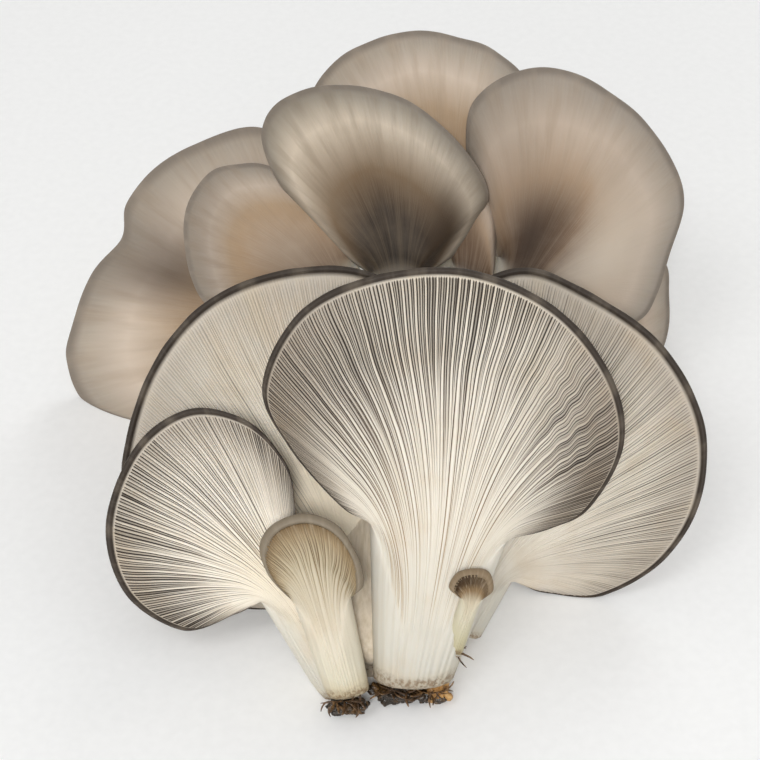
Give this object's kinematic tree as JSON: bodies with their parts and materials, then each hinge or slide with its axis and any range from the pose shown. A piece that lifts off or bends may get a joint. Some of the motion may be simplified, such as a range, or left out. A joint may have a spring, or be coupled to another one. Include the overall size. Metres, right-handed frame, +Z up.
{
  "type": "oyster mushroom cluster",
  "caption": "Cluster of oyster mushrooms lying down: pale gilled fans on short stems in front, grey-brown caps behind, joined at a fused foot with bits of bark.",
  "frame": {"origin": "middle of the cluster's footprint, on the surface it lies on", "axes": "+Z up; -Y is the side where the gilled fans and the cut foot show; +Y towards the caps at the back; X across the cluster"},
  "size_m": [0.2114, 0.2172, 0.11],
  "materials": {
    "pale_fan": "matt cream gills under a thin dark grey-brown skin",
    "young_flesh": "matt, fibrous, cream",
    "grey_cap": "dull silky skin, pale grey-brown",
    "olive_cap": "dull silky skin, olive brown",
    "tan_cap": "dull silky skin, warm tan",
    "stem_base": "matt, downy",
    "wet_bark": "damp, crumbly",
    "spawn_grain": "damp, slightly glossy"
  },
  "bodies": {
    "root": {"main_fan": "pale_fan", "young_fan": "young_flesh", "left_small_fan": "pale_fan", "pin_mushroom": "young_flesh", "right_fan": "pale_fan", "left_fan": "pale_fan", "back_centre_cap": "olive_cap", "back_right_cap": "tan_cap", "back_small_cap": "grey_cap", "back_left_cap": "grey_cap", "back_top_cap": "grey_cap", "back_sliver_cap": "tan_cap", "back_low_cap": "grey_cap", "fused_base": "stem_base", "wet_bark": "wet_bark", "bark_flake": "wet_bark", "spawn_grain": "spawn_grain", "young_crumb": "wet_bark"}
  },
  "joints": []
}
